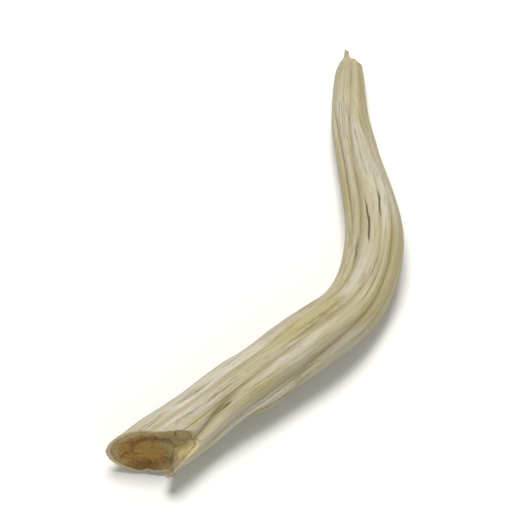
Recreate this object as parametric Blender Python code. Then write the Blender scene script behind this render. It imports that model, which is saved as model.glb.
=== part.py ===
"""One dried shatavari root, cut from a longer one, lying on a flat surface.

The root is a single solid. Its skin is one grid of points: a row for each station along the
root and a column for each direction round it. The grid's first rows close the slanting knife
cut, the middle rows follow the bent, tapering, furrowed flank, and the last rows close the tip.
Metres, +Z up. The origin lies on the surface, under the middle of the root's outline.
"""
import bmesh
import bpy
import numpy as np

MM = 0.001

# Driving dimensions: stations are distances along the root's line from the cut
ROOT_LENGTH = 44.5 * MM
THICK_RADIUS = 2.66 * MM
TIP_RADIUS = 1.13 * MM
TAPER_START = 18.8 * MM
TAPER_POWER = 1.44

# The line of the root in plan: two limbs with one bend, the thick limb first
LIMB_HEADING = 37.7
BEND_TURN = 63.8
BEND_START = 14.8 * MM
BEND_END = 32.0 * MM
BUTT_FLARE = 5.3
BUTT_FLARE_LENGTH = 3.3 * MM
TIP_RETURN = 12.4
TIP_RETURN_START = 34.4 * MM
TIP_RETURN_END = 42.5 * MM

# The cross-section: low lobes, each with its share of the radius, start angle and twist
LOBES = ((2, 0.050, 35.0, 3.1), (3, 0.034, 140.0, -2.3), (5, 0.016, 60.0, 4.0))
SWELL_SHARE = 0.022
SWELL_PITCH = 12.5 * MM

# The furrows the picture shows: depth, half width in degrees, then the stations in millimetres
# and the angles in degrees that each one runs through. The last is a broad flat near the cut
SEEN_FURROWS = (
    (0.38 * MM, 9.5, (-5.0, 1.5, 4.0, 6.2, 8.4), (152, 143, 134, 122, 114)),
    (0.25 * MM, 10.0, (3.0, 7.5, 11.0, 18.0, 24.0), (128, 116, 108, 103, 98)),
    (0.16 * MM, 8.0, (-4.0, 4.0, 10.0, 16.0), (80, 78, 82, 88)),
    (0.24 * MM, 10.0, (2.0, 9.0, 14.0, 19.0, 24.0, 31.0), (164, 156, 152, 140, 130, 126)),
    (0.26 * MM, 9.0, (17.0, 22.0, 26.0, 30.0, 34.0, 38.0, 41.0, 48.0), (66, 61, 54, 59, 65, 80, 95, 97)),
    (0.17 * MM, 8.0, (21.0, 24.0, 27.0, 30.0, 34.0), (113, 107, 100, 102, 112)),
    (0.16 * MM, 8.0, (31.0, 34.0, 38.0, 48.0), (126, 124, 128, 134)),
    (0.60 * MM, 28.0, (-9.0, 10.0), (203, 203)),
)
# The furrows on the rest of the root, spread over this arc by a seeded draw
HIDDEN_FURROWS = 11
HIDDEN_FURROW_SEED = 41
HIDDEN_ARC = (176.0, 398.0)
FURROW_FADE = 3.0 * MM
PATH_STEPS = np.linspace(-10.0, 60.0, 701)

# The two ends
CUT_NORMAL = np.array((-0.08, -0.965, 0.25))
CUT_DISH = 0.50 * MM
DISH_FLOOR = 0.50
CUT_LIP = 2.3 * MM
CUT_LIP_FOOT = 0.30
CUT_LIP_ARC = (150.0, 172.0, 184.0, 234.0)
CUT_LOBE = 0.90 * MM
CUT_LOBE_ARC = (88.0, 122.0, 142.0, 160.0)
CORE_SHARE = 0.46
CORE_RISE = 0.26 * MM
CORE_EDGE = 0.12
ROUND_SHARE = 0.50
TIP_NORMAL = np.array((0.44, 0.87, 0.20))
TIP_BULGE = 0.45 * MM
TIP_ROUNDING = 0.20
TIP_ROUNDING_LENGTH = 1.4 * MM
SPLINTER = 1.10 * MM
SPLINTER_ARC = (8.0, 34.0, 62.0, 88.0)

# The three places where the root bears on the surface
REST_STATIONS = (3.5 * MM, 21.5 * MM, 40.5 * MM)
REST_REACH = 3.2 * MM
REST_FLAT = 0.16 * MM
REST_LIFT = 0.55 * MM

# How finely the skin is divided
COLUMNS = 80
CUT_RINGS = (0.0, 0.20, 0.38, 0.54, 0.70, 0.84, 0.94)
TIP_RINGS = (0.88, 0.60, 0.30, 0.0)
FLANK_ROWS = 60
WELD = 0.004 * MM

SKIN_COLOUR = (0.60, 0.50, 0.31, 1.0)
SKIN_ROUGHNESS = 0.62


def smooth(value):
    """0 below 0, 1 above 1, and an even S-curve between."""
    value = np.clip(value, 0.0, 1.0)
    return value * value * (3.0 - 2.0 * value)


def heading(station):
    """The direction of the root's line in plan, in radians from +X, at a distance along it."""
    degrees = (
        LIMB_HEADING
        + BEND_TURN * smooth((station - BEND_START) / (BEND_END - BEND_START))
        + BUTT_FLARE * np.exp(-np.maximum(station, 0.0) / BUTT_FLARE_LENGTH)
        - TIP_RETURN * smooth((station - TIP_RETURN_START) / (TIP_RETURN_END - TIP_RETURN_START))
    )
    return np.radians(degrees)


def line_in_plan(station):
    """The root's line: many short steps, each along the heading, added up."""
    margin = 8.0 * MM
    steps = np.linspace(-margin, ROOT_LENGTH + margin, 1200)
    stride = steps[1] - steps[0]
    east = np.cumsum(np.cos(heading(steps))) * stride
    north = np.cumsum(np.sin(heading(steps))) * stride
    return np.interp(station, steps, east), np.interp(station, steps, north)


def plain_radius(station):
    """The root's radius before lobes and furrows: full, then easing down to the tip."""
    along = np.clip((station - TAPER_START) / (ROOT_LENGTH - TAPER_START), 0.0, None)
    swell = SWELL_SHARE * np.sin(2.0 * np.pi * station / SWELL_PITCH)
    near_tip = 1.0 - (ROOT_LENGTH - station) / TIP_ROUNDING_LENGTH
    rounding = TIP_ROUNDING * np.clip(near_tip, 0.0, 1.5) ** 2
    taper = (THICK_RADIUS - TIP_RADIUS) * along**TAPER_POWER
    return (THICK_RADIUS - taper) * (1.0 + swell - rounding)


def furrow_path(stations, angles):
    """A furrow's angle in radians at each path step: straight runs with rounded corners."""
    reach = np.pad(np.interp(PATH_STEPS, stations, angles), 20, mode="edge")
    return np.radians(np.convolve(reach, np.full(41, 1.0 / 41.0), mode="valid"))


def hidden_furrow(draw, number):
    """One furrow of the hidden side: it leans, wavers, and starts and stops where the draw says."""
    share = (number + 0.5 + draw.uniform(-0.3, 0.3)) / HIDDEN_FURROWS
    middle = HIDDEN_ARC[0] + (HIDDEN_ARC[1] - HIDDEN_ARC[0]) * share
    length = draw.uniform(16.0, 40.0)
    first = draw.uniform(-4.0, 48.0 - length)
    stations = np.linspace(first, first + length, 9)
    lean = draw.uniform(-0.35, 0.35) * (stations - first - length / 2)
    waver = 4.0 * np.sin(stations / draw.uniform(2.0, 3.5) + draw.uniform(0.0, 6.28))
    return draw.uniform(0.16, 0.42) * MM, draw.uniform(5.5, 8.0), stations, middle + lean + waver


def all_furrows():
    """Every furrow: its depth, half width, first and last station, and path."""
    draw = np.random.default_rng(HIDDEN_FURROW_SEED)
    hidden = tuple(hidden_furrow(draw, number) for number in range(HIDDEN_FURROWS))
    return [
        (deep, half_width, stations[0] * MM, stations[-1] * MM, furrow_path(stations, angles))
        for deep, half_width, stations, angles in SEEN_FURROWS + hidden
    ]


FURROWS = all_furrows()


def furrow_depth(angle, station):
    """How deep the furrows cut in: each is a narrow valley that fades towards its two ends."""
    depth = np.zeros(np.broadcast(angle, station).shape)
    for deep, half_width, first, last, path in FURROWS:
        centre = np.interp(station, PATH_STEPS * MM, path)
        apart = np.abs((angle - centre + np.pi) % (2.0 * np.pi) - np.pi)
        valley = np.exp(-((apart / np.radians(half_width)) ** 1.5))
        start = smooth((station - first) / FURROW_FADE)
        stop = smooth((last - station) / FURROW_FADE)
        depth += deep * valley * start * stop
    return depth * plain_radius(station) / THICK_RADIUS


def lobed_radius(angle, station):
    """The distance from the root's line to its skin, before the furrows."""
    share = 1.0
    for waves, height, start, twist in LOBES:
        share = share + height * np.cos(waves * angle + np.radians(start + twist * station / MM))
    return plain_radius(station) * share


def skin_radius(angle, station):
    """The distance from the root's line to its furrowed skin."""
    return lobed_radius(angle, station) - furrow_depth(angle, station)


def line_height(station):
    """The height of the root's line: its underside dips to the surface at the rest stations."""
    underside = skin_radius(np.radians(270.0), station)
    bearing = sum(np.exp(-(((station - rest) / REST_REACH) ** 2)) for rest in REST_STATIONS)
    return underside + REST_LIFT * (1.0 - bearing) - REST_FLAT * bearing


def point_at(angle, station, reach):
    """A point at a reach from the root's line, in the upright plane across it."""
    east, north = line_in_plan(station)
    turn = heading(station)
    sideways = reach * np.cos(angle)
    return np.stack(
        (
            east - sideways * np.sin(turn),
            north + sideways * np.cos(turn),
            line_height(station) + reach * np.sin(angle),
        ),
        axis=-1,
    )


def station_on_plane(angle, middle, normal, radius):
    """Where each lengthwise line of the skin meets the plane through the root's line."""
    origin = point_at(0.0, middle, 0.0)
    turn = heading(middle)
    along = normal[0] * np.cos(turn) + normal[1] * np.sin(turn)
    found = np.full(np.shape(angle), middle)
    for _ in range(14):
        miss = (point_at(angle, found, radius(angle, found)) - origin) @ normal
        found = found - 0.8 * miss / along
    return found


def end_rim(angle, middle, normal, radius):
    """The closed line where the skin meets the plane of an end."""
    station = station_on_plane(angle, middle, normal, radius)
    return point_at(angle, station, radius(angle, station))


def end_face(furrowed, plain, ring, relief):
    """One ring of an end: round near the middle, and taking up the rim's furrows further out."""
    middle = plain.mean(axis=0)
    near_rim = smooth((ring - ROUND_SHARE) / (1.0 - ROUND_SHARE))
    outline = plain + (furrowed - plain) * near_rim
    return middle + (outline - middle) * ring + relief


def cut_relief(ring):
    """The knife cut dried hollow, round a firmer core that stands up in the middle."""
    hollow = -CUT_DISH * (1.0 - smooth((ring - DISH_FLOOR) / (1.0 - DISH_FLOOR)))
    return hollow + CORE_RISE * smooth((CORE_SHARE - ring) / CORE_EDGE + 0.5)


def plateau(degrees, arc):
    """1 between the arc's two middle angles, easing to 0 at its two outer ones."""
    rise = smooth((degrees - arc[0]) / (arc[1] - arc[0]))
    fall = smooth((arc[3] - degrees) / (arc[3] - arc[2]))
    return rise * fall


def lip(angle):
    """How far the skin runs on past the cut. Low on the outer side the knife left a lip. Above
    it one lobe of flesh broke off further back, so the skin stops short there."""
    degrees = np.degrees(angle)
    return CUT_LIP * plateau(degrees, CUT_LIP_ARC) - CUT_LOBE * plateau(degrees, CUT_LOBE_ARC)


def splinter(angle):
    """How far the skin runs on past the tip, where a few fibres held on as the root snapped."""
    return SPLINTER * plateau(np.degrees(angle), SPLINTER_ARC)


def flank_station(angle, first, last, share):
    """The stations of one row of the flank, at a share of the way from the cut to the tip."""
    ends = splinter(angle) * share**8 - lip(angle) * (1.0 - share) ** 3
    return first + (last - first) * share + ends


def cut_ring(angle, rim, plain, ring, normal):
    """One ring of the cut face. Near the rim it slopes up to the lip's edge."""
    turn = heading(0.0)
    backwards = -np.array((np.cos(turn), np.sin(turn), 0.0))
    rising = smooth((ring - CUT_LIP_FOOT) / (1.0 - CUT_LIP_FOOT))
    slope = lip(angle)[:, None] * rising * backwards
    return end_face(rim, plain, ring, cut_relief(ring) * normal + slope)


def root_rows():
    """Every row of the skin, from the middle of the cut face to the middle of the tip."""
    angle = np.linspace(0.0, 2.0 * np.pi, COLUMNS + 1)
    cut_normal = CUT_NORMAL / np.linalg.norm(CUT_NORMAL)
    tip_normal = TIP_NORMAL / np.linalg.norm(TIP_NORMAL)
    first = station_on_plane(angle, 0.0, cut_normal, skin_radius)
    last = station_on_plane(angle, ROOT_LENGTH, tip_normal, skin_radius)
    shares = np.linspace(0.0, 1.0, FLANK_ROWS + 1)
    stations = [flank_station(angle, first, last, share) for share in shares]
    flank = [point_at(angle, station, skin_radius(angle, station)) for station in stations]
    rim = point_at(angle, first, skin_radius(angle, first))
    plain = end_rim(angle, 0.0, cut_normal, lobed_radius)
    cut = [cut_ring(angle, rim, plain, ring, cut_normal) for ring in CUT_RINGS]
    rim = flank[-1]
    plain = end_rim(angle, ROOT_LENGTH, tip_normal, lobed_radius)
    tip = [
        end_face(rim, plain, ring, TIP_BULGE * np.sqrt(1.0 - ring**2) * tip_normal)
        for ring in TIP_RINGS
    ]
    return np.array(cut + flank + tip)


def set_on_surface(points):
    """Flattens what dips below the surface and puts the origin under the outline's middle."""
    points[..., 2] = np.maximum(points[..., 2], 0.0)
    low = points.reshape(-1, 3).min(axis=0)
    high = points.reshape(-1, 3).max(axis=0)
    points[..., :2] -= (low[:2] + high[:2]) / 2
    return points


def make_material():
    material = bpy.data.materials.new("dried_root")
    material.use_nodes = True
    shader = material.node_tree.nodes["Principled BSDF"]
    shader.inputs["Base Color"].default_value = SKIN_COLOUR
    shader.inputs["Roughness"].default_value = SKIN_ROUGHNESS
    shader.inputs["Metallic"].default_value = 0.0
    return material


def make_root():
    """A flat grid of faces, wrapped onto the root's points and welded along its seam."""
    points = set_on_surface(root_rows())
    rows = len(points) - 1
    shape = bmesh.new()
    bmesh.ops.create_grid(shape, x_segments=COLUMNS, y_segments=rows, size=1.0)
    for vertex in shape.verts:
        column = round((vertex.co.x + 1.0) / 2.0 * COLUMNS)
        row = round((vertex.co.y + 1.0) / 2.0 * rows)
        vertex.co = points[row, column]
    bmesh.ops.remove_doubles(shape, verts=shape.verts, dist=WELD)
    bmesh.ops.recalc_face_normals(shape, faces=shape.faces)
    mesh = bpy.data.meshes.new("root")
    shape.to_mesh(mesh)
    shape.free()
    mesh.shade_smooth()
    mesh.set_sharp_from_angle(angle=np.radians(48.0))
    mesh.materials.append(make_material())
    return bpy.data.objects.new("root", mesh)


def main():
    for obj in list(bpy.data.objects):
        bpy.data.objects.remove(obj)
    collection = bpy.data.collections.new("shatavari_root")
    bpy.context.scene.collection.children.link(collection)
    collection.objects.link(make_root())


main()
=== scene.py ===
# %% [markdown]
# # A dried shatavari root
#
# Shatavari is the root of a climbing asparagus. It is dug up, peeled, cut into short lengths
# and dried until it is as hard as wood. As the flesh loses its water it shrinks, and the skin
# has to go somewhere: it sinks into long furrows between pale ridges.
#
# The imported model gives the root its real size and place. This lesson keeps that shape, adds
# the wrinkles that are too fine for the model, and finishes the peeled skin and the cut flesh.

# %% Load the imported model
import bpy
import numpy as np
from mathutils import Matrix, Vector


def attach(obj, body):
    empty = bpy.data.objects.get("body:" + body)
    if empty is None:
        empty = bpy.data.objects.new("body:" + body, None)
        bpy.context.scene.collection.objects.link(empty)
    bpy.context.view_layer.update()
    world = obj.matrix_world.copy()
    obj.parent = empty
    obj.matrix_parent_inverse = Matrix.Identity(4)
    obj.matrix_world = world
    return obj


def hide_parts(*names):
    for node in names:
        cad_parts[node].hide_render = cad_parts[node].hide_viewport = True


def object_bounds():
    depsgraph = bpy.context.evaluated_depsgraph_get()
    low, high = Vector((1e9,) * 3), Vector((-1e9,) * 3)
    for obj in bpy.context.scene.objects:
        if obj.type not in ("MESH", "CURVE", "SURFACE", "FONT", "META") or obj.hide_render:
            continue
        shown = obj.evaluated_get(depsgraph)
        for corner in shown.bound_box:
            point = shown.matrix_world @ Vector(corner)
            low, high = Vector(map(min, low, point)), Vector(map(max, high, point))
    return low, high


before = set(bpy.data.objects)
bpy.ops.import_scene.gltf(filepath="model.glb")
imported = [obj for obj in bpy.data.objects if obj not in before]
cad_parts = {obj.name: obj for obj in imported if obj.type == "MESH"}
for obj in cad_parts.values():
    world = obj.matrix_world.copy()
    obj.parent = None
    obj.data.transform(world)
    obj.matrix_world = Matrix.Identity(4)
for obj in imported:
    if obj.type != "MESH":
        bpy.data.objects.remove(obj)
cad_low, cad_high = [np.array(corner) * 1000.0 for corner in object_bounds()]
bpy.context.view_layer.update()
print("the packed root, in mm:", (cad_high - cad_low).round(2))

# %% [markdown]
# ## The line of the root
#
# A root grows along a line, so the line comes first. It could be drawn as a curve object and
# given a bevel, but a bevel has the same section everywhere. Here the line is a heading that
# turns with the distance along it, added up in short steps. All lengths are millimetres.

# %% The root's heading and its line in plan
ROOT_LENGTH = 44.5
LIMB_HEADING = 37.7
# Where the bend and the turn back start and stop, and the degrees they turn by
BEND = (14.8, 32.0, 63.8)
TIP_RETURN = (34.4, 42.5, 12.4)
# The flare at the cut: degrees, and the length over which it dies away
BUTT_FLARE = (5.3, 3.3)


def smooth(value):
    """0 below 0, 1 above 1, and an even S-curve between."""
    value = np.clip(value, 0.0, 1.0)
    return value * value * (3.0 - 2.0 * value)


def rise(value, low, high):
    """0 up to the low value, 1 from the high one on, and an even S-curve between."""
    return smooth((value - low) / (high - low))


def bell(value, middle, half_width):
    """1 at the middle, falling away to both sides as a bell."""
    return np.exp(-(((value - middle) / half_width) ** 2))


def between(value, first, last, fade):
    """1 between the first value and the last, fading to 0 inside each end."""
    return smooth((value - first) / fade) * smooth((last - value) / fade)


def gap(angle, centre):
    """How far apart two angles are, the short way round."""
    return np.abs((angle - centre + np.pi) % (2.0 * np.pi) - np.pi)


def heading(station):
    """The line's direction in radians: the thick limb's heading, plus the bend, plus a small
    flare at the cut that dies away, less a small turn back near the tip."""
    bend = BEND[2] * rise(station, BEND[0], BEND[1])
    flare = BUTT_FLARE[0] * np.exp(-np.maximum(station, 0.0) / BUTT_FLARE[1])
    back = TIP_RETURN[2] * rise(station, TIP_RETURN[0], TIP_RETURN[1])
    return np.radians(LIMB_HEADING + bend + flare - back)


LINE_REACH = (-8.0, 52.5)
LINE_STEPS = np.linspace(*LINE_REACH, 1200)
LINE_STRIDE = LINE_STEPS[1] - LINE_STEPS[0]
LINE_EAST = np.cumsum(np.cos(heading(LINE_STEPS))) * LINE_STRIDE
LINE_NORTH = np.cumsum(np.sin(heading(LINE_STEPS))) * LINE_STRIDE
print("the line turns from", np.degrees(heading(np.array([0.0, 30.0, 44.0]))).round(1))

# %% [markdown]
# ## How thick it is
#
# The root is nearly round where it was cut and tapers past the bend. Drying pulled it a little
# out of round, so a few low waves run round the section, and each wave twists slowly along
# the root. A gentle swelling every centimetre or so keeps it from looking turned on a lathe.

# %% Radius and lobes
THICK_RADIUS = 2.66
TIP_RADIUS = 1.13
TAPER_START = 18.8
TAPER_POWER = 1.44
SWELL_SHARE = 0.022
SWELL_PITCH = 12.5
# The rounding at the tip: the share of the radius it takes, and its length
TIP_ROUNDING = (0.20, 1.4)
# Lobes: waves round the section, height, starting angle, and twist in degrees per mm
LOBES = ((2, 0.050, 35.0, 3.1), (3, 0.034, 140.0, -2.3), (5, 0.016, 60.0, 4.0))


def plain_radius(station):
    """Full radius, less a taper that grows as a power of the distance, times a slow sine. Close
    to the tip it is rounded off by the square of the distance into the rounding."""
    along = np.clip((station - TAPER_START) / (ROOT_LENGTH - TAPER_START), 0.0, None)
    swell = SWELL_SHARE * np.sin(2.0 * np.pi * station / SWELL_PITCH)
    near_tip = 1.0 - (ROOT_LENGTH - station) / TIP_ROUNDING[1]
    rounding = TIP_ROUNDING[0] * np.clip(near_tip, 0.0, 1.5) ** 2
    taper = (THICK_RADIUS - TIP_RADIUS) * along**TAPER_POWER
    return (THICK_RADIUS - taper) * (1.0 + swell - rounding)


def lobed_radius(angle, station):
    """The plain radius times one plus the sum of a few cosines of the angle."""
    share = 1.0
    for waves, height, start, twist in LOBES:
        share = share + height * np.cos(waves * angle + np.radians(start + twist * station))
    return plain_radius(station) * share


print("radius at the cut, the bend and the tip:", plain_radius(np.array([0, 25, 44])).round(2))

# %% [markdown]
# ## The long furrows
#
# A furrow is where the drying skin folded in. Each one is a narrow valley that follows a path
# of its own and fades out at both ends. The ones in view are listed one by one; the rest are
# drawn by a seeded rule, so they come out the same on every run.

# %% Paths of the long furrows
# Depth in mm, half width in degrees, then stations in mm and the angle in degrees at each
SEEN_FURROWS = (
    (0.38, 9.5, (-5.0, 1.5, 4.0, 6.2, 8.4), (152, 143, 134, 122, 114)),
    (0.25, 10.0, (3.0, 7.5, 11.0, 18.0, 24.0), (128, 116, 108, 103, 98)),
    (0.16, 8.0, (-4.0, 4.0, 10.0, 16.0), (80, 78, 82, 88)),
    (0.24, 10.0, (2.0, 9.0, 14.0, 19.0, 24.0, 31.0), (164, 156, 152, 140, 130, 126)),
    (0.26, 9.0, (17.0, 22.0, 26.0, 30.0, 34.0, 38.0, 41.0, 48.0), (66, 61, 54, 59, 65, 80, 95, 97)),
    (0.17, 8.0, (21.0, 24.0, 27.0, 30.0, 34.0), (113, 107, 100, 102, 112)),
    (0.16, 8.0, (31.0, 34.0, 38.0, 48.0), (126, 124, 128, 134)),
    (0.60, 28.0, (-9.0, 10.0), (203, 203)),
)
HIDDEN_FURROWS = 11
HIDDEN_FURROW_SEED = 41
HIDDEN_ARC = (176.0, 398.0)
HIDDEN_JITTER = 0.3
HIDDEN_LENGTH = (16.0, 40.0)
HIDDEN_REACH = (-4.0, 48.0)
HIDDEN_DEPTH = (0.16, 0.42)
HIDDEN_HALF_WIDTH = (5.5, 8.0)
# How a furrow wanders: most lean, degrees it wavers by, and the range of the waver's pace
HIDDEN_HABIT = (0.35, 4.0, (2.0, 3.5))
FULL_TURN = 6.28
LONG_FADE = 3.0
LONG_SHARPNESS = 1.5
PATH_STEPS = np.linspace(-10.0, 60.0, 701)
PATH_ROUNDING = 20


def furrow_path(stations, angles):
    """The angle at every path step: straight runs between the given points, then a moving
    average that rounds their corners."""
    window = 2 * PATH_ROUNDING + 1
    reach = np.pad(np.interp(PATH_STEPS, stations, angles), PATH_ROUNDING, mode="edge")
    return np.radians(np.convolve(reach, np.full(window, 1.0 / window), mode="valid"))


def wander(draw, first, length, points, habit):
    """Stations along a furrow, and how far it leans and wavers off its course at each."""
    most_lean, waver, paces = habit
    stations = np.linspace(first, first + length, points)
    lean = draw.uniform(-most_lean, most_lean) * (stations - first - length / 2)
    pace, start = draw.uniform(*paces), draw.uniform(0.0, FULL_TURN)
    return stations, lean, waver * np.sin(stations / pace + start)


def hidden_furrow(draw, number):
    """One furrow of the far side: it leans, wavers, and starts and stops where the draw says."""
    share = (number + 0.5 + draw.uniform(-HIDDEN_JITTER, HIDDEN_JITTER)) / HIDDEN_FURROWS
    middle = HIDDEN_ARC[0] + (HIDDEN_ARC[1] - HIDDEN_ARC[0]) * share
    length = draw.uniform(*HIDDEN_LENGTH)
    first = draw.uniform(HIDDEN_REACH[0], HIDDEN_REACH[1] - length)
    stations, lean, waver = wander(draw, first, length, 9, HIDDEN_HABIT)
    depth, half_width = draw.uniform(*HIDDEN_DEPTH), draw.uniform(*HIDDEN_HALF_WIDTH)
    return depth, half_width, stations, middle + lean + waver


# %% How deep the furrows cut
def with_paths(furrows):
    """Each furrow as its depth, half width, first and last station, and its path."""
    return [
        (deep, half_width, stations[0], stations[-1], furrow_path(stations, angles))
        for deep, half_width, stations, angles in furrows
    ]


def furrow_depth(angle, station, furrows, fade, sharpness):
    """The sum over all furrows of depth times a bell of the distance from its path. A lower
    sharpness power gives a valley with a keener bottom. Both ends fade in and out."""
    depth = 0.0
    for deep, half_width, first, last, path in furrows:
        apart = gap(angle, np.interp(station, PATH_STEPS, path))
        valley = np.exp(-((apart / np.radians(half_width)) ** sharpness))
        depth = depth + deep * valley * between(station, first, last, fade)
    return depth * plain_radius(station) / THICK_RADIUS


furrow_draw = np.random.default_rng(HIDDEN_FURROW_SEED)
hidden = tuple(hidden_furrow(furrow_draw, number) for number in range(HIDDEN_FURROWS))
LONG_FURROWS = with_paths(SEEN_FURROWS + hidden)
print("long furrows:", len(LONG_FURROWS))

# %% [markdown]
# ## Lying on the table
#
# The root touches the table under the cut limb, under the bend and near the tip, and lifts a
# little between them. The height of its line follows from that: it is the depth of the
# underside at each station, plus the lift.

# %% Height of the line, and points on the skin
REST_STATIONS = (3.5, 21.5, 40.5)
REST_REACH = 3.2
REST_FLAT = 0.16
REST_LIFT = 0.55


def model_radius(angle, station):
    """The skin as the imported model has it: the lobed radius less the long furrows."""
    furrows = furrow_depth(angle, station, LONG_FURROWS, LONG_FADE, LONG_SHARPNESS)
    return lobed_radius(angle, station) - furrows


def height_table():
    """The line's height at every line step: the reach of the underside, plus a lift that
    drops to a slight sinking-in at each resting place."""
    underside = model_radius(np.radians(270.0), LINE_STEPS)
    bearing = sum(bell(LINE_STEPS, rest, REST_REACH) for rest in REST_STATIONS)
    return underside + REST_LIFT * (1.0 - bearing) - REST_FLAT * bearing


LINE_HEIGHT = height_table()


def point_at(angle, station, reach):
    """The line's point at that station, plus the reach in the upright plane across the line."""
    turn = heading(station)
    sideways = reach * np.cos(angle)
    east = np.interp(station, LINE_STEPS, LINE_EAST) - sideways * np.sin(turn)
    north = np.interp(station, LINE_STEPS, LINE_NORTH) + sideways * np.cos(turn)
    up = np.interp(station, LINE_STEPS, LINE_HEIGHT) + reach * np.sin(angle)
    return np.stack((east, north, up), axis=-1)


print("the line's height runs from", LINE_HEIGHT.min().round(2), "to", LINE_HEIGHT.max().round(2))

# %% [markdown]
# ## Fine wrinkles
#
# Between the long furrows the skin is creased at two smaller sizes. Some eighty short wrinkles
# run nearly lengthwise, as fine as a hair or two. Over them lies the grain of the flesh, whose
# fibres all run along the root. The wrinkles are more furrows, only shorter and finer; the
# grain is a random pattern, stretched along the root and closed round it.

# %% Short wrinkles
WRINKLES = 84
WRINKLE_SEED = 7
WRINKLE_LENGTH = (3.5, 15.0)
WRINKLE_REACH = (-5.0, 47.0)
WRINKLE_DEPTH = (0.03, 0.12)
WRINKLE_HALF_WIDTH = (1.1, 2.6)
WRINKLE_HABIT = (1.4, 2.2, (0.7, 1.6))
WRINKLE_FADE = 2.6
WRINKLE_SHARPNESS = 1.0


def short_wrinkle(draw):
    """One wrinkle: its place, length, lean and waver come from the seeded draw."""
    length = draw.uniform(*WRINKLE_LENGTH)
    first = draw.uniform(WRINKLE_REACH[0], WRINKLE_REACH[1] - length / 2)
    stations, lean, waver = wander(draw, first, length, 8, WRINKLE_HABIT)
    angles = draw.uniform(0.0, 360.0) + lean + waver
    depth, half_width = draw.uniform(*WRINKLE_DEPTH), draw.uniform(*WRINKLE_HALF_WIDTH)
    return depth, half_width, stations, angles


wrinkle_draw = np.random.default_rng(WRINKLE_SEED)
FINE_WRINKLES = with_paths([short_wrinkle(wrinkle_draw) for _ in range(WRINKLES)])
print("short wrinkles:", len(FINE_WRINKLES))


# %% Dark fissures at the bend, and the notch in the tip
FISSURES = with_paths((
    (0.20, 1.9, (25.0, 26.4, 28.0, 29.8), (82, 80, 77, 74)),
    (0.13, 1.6, (22.8, 24.4, 26.4), (57, 54, 50)),
    (0.16, 1.8, (27.4, 29.0, 30.8), (100, 102, 108)),
    (0.12, 1.6, (33.4, 35.2, 37.4), (88, 91, 90)),
    (0.07, 1.5, (8.6, 10.6, 12.6), (97, 95, 96)),
    (0.11, 2.2, (5.4, 6.6, 8.0), (129, 124, 118)),
))
FISSURE_FADE = 1.1
FISSURE_SHARPNESS = 1.2
TIP_NOTCH = with_paths(((0.40, 11.0, (41.6, 44.0, 50.0), (92, 84, 78)),))
NOTCH_FADE = 2.4
NOTCH_SHARPNESS = 1.6
print("fissures:", len(FISSURES))


# %% Noise along the root
NOISE_LENGTH = 90
NOISE_START = 20.0


def streak_noise(angle, station, cells_round, cell_length, seed):
    """Random values from -1 to 1 on a lattice that closes round the root. Between lattice
    points the value is a smooth blend of the four nearest."""
    cells = (int(NOISE_LENGTH / cell_length), cells_round)
    lattice = np.random.default_rng(seed).uniform(-1.0, 1.0, cells)
    across = (angle / (2.0 * np.pi) * cells_round) % cells_round
    along = (station + NOISE_START) / cell_length
    column, row = np.floor(across).astype(int), np.floor(along).astype(int)
    side, ahead = smooth(across - column), smooth(along - row)
    near, far = column % cells_round, (column + 1) % cells_round
    lower = lattice[row, near] * (1.0 - side) + lattice[row, far] * side
    upper = lattice[row + 1, near] * (1.0 - side) + lattice[row + 1, far] * side
    return lower * (1.0 - ahead) + upper * ahead


def noise_layer(angle, station, layer):
    """A layer of that noise: its height times the noise of its own cells and seed."""
    height, cells_round, cell_length, seed = layer
    return height * streak_noise(angle, station, cells_round, cell_length, seed)


print("one value of the noise:", noise_layer(1.0, 20.0, (1.0, 16, 2.6, 14)).round(3))


# %% Grain of the flesh, puckers and uneven fissures
# Layers of noise: height, cells round the root, length of a cell in mm, and seed
GRAIN_DRIFT = (0.10, 7, 6.0, 11)
GRAIN_COARSE = (0.011, 64, 3.4, 12)
GRAIN_FINE = (0.008, 132, 1.7, 13)
GRAIN_LUMPS = (0.034, 16, 2.6, 14)
PUCKER_SHAKE = (1.5, 10, 2.0, 15)
FISSURE_SHAKE = (0.020, 24, 0.5, 16)
FISSURE_UNEVEN = (0.55, 12, 0.7, 17)
FISSURE_LEVEL = 0.72
# The puckers' middle and half width: round the root in degrees, and along it in mm
PUCKER_ARC = (32.0, 34.0)
PUCKER_SPAN = (23.5, 5.0)
PUCKER_HEIGHT = 0.035
PUCKER_PACE = 4.6


def grain_height(angle, station):
    """Two sizes of streaks that drift sideways with a slower pattern, and low lumps."""
    drift = angle + noise_layer(angle, station, GRAIN_DRIFT)
    coarse = noise_layer(drift, station, GRAIN_COARSE)
    fine = noise_layer(drift, station, GRAIN_FINE)
    return coarse + fine + noise_layer(angle, station, GRAIN_LUMPS)


def puckers(angle, station):
    """Low cross folds on the inside of the bend, where drying squeezed the skin together."""
    inside = bell(angle, *np.radians(PUCKER_ARC))
    along = bell(station, *PUCKER_SPAN)
    wave = np.sin(station * PUCKER_PACE + noise_layer(angle, station, PUCKER_SHAKE))
    return PUCKER_HEIGHT * inside * along * wave


def fissure_depth(angle, station):
    """The fissures, deeper and shallower by turns and with a slight shake from side to side."""
    shaken = angle + noise_layer(angle, station, FISSURE_SHAKE)
    uneven = FISSURE_LEVEL + noise_layer(angle, station, FISSURE_UNEVEN)
    return furrow_depth(shaken, station, FISSURES, FISSURE_FADE, FISSURE_SHARPNESS) * uneven


print("the grain at one point stands", grain_height(1.0, 20.0).round(3), "mm proud")


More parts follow.
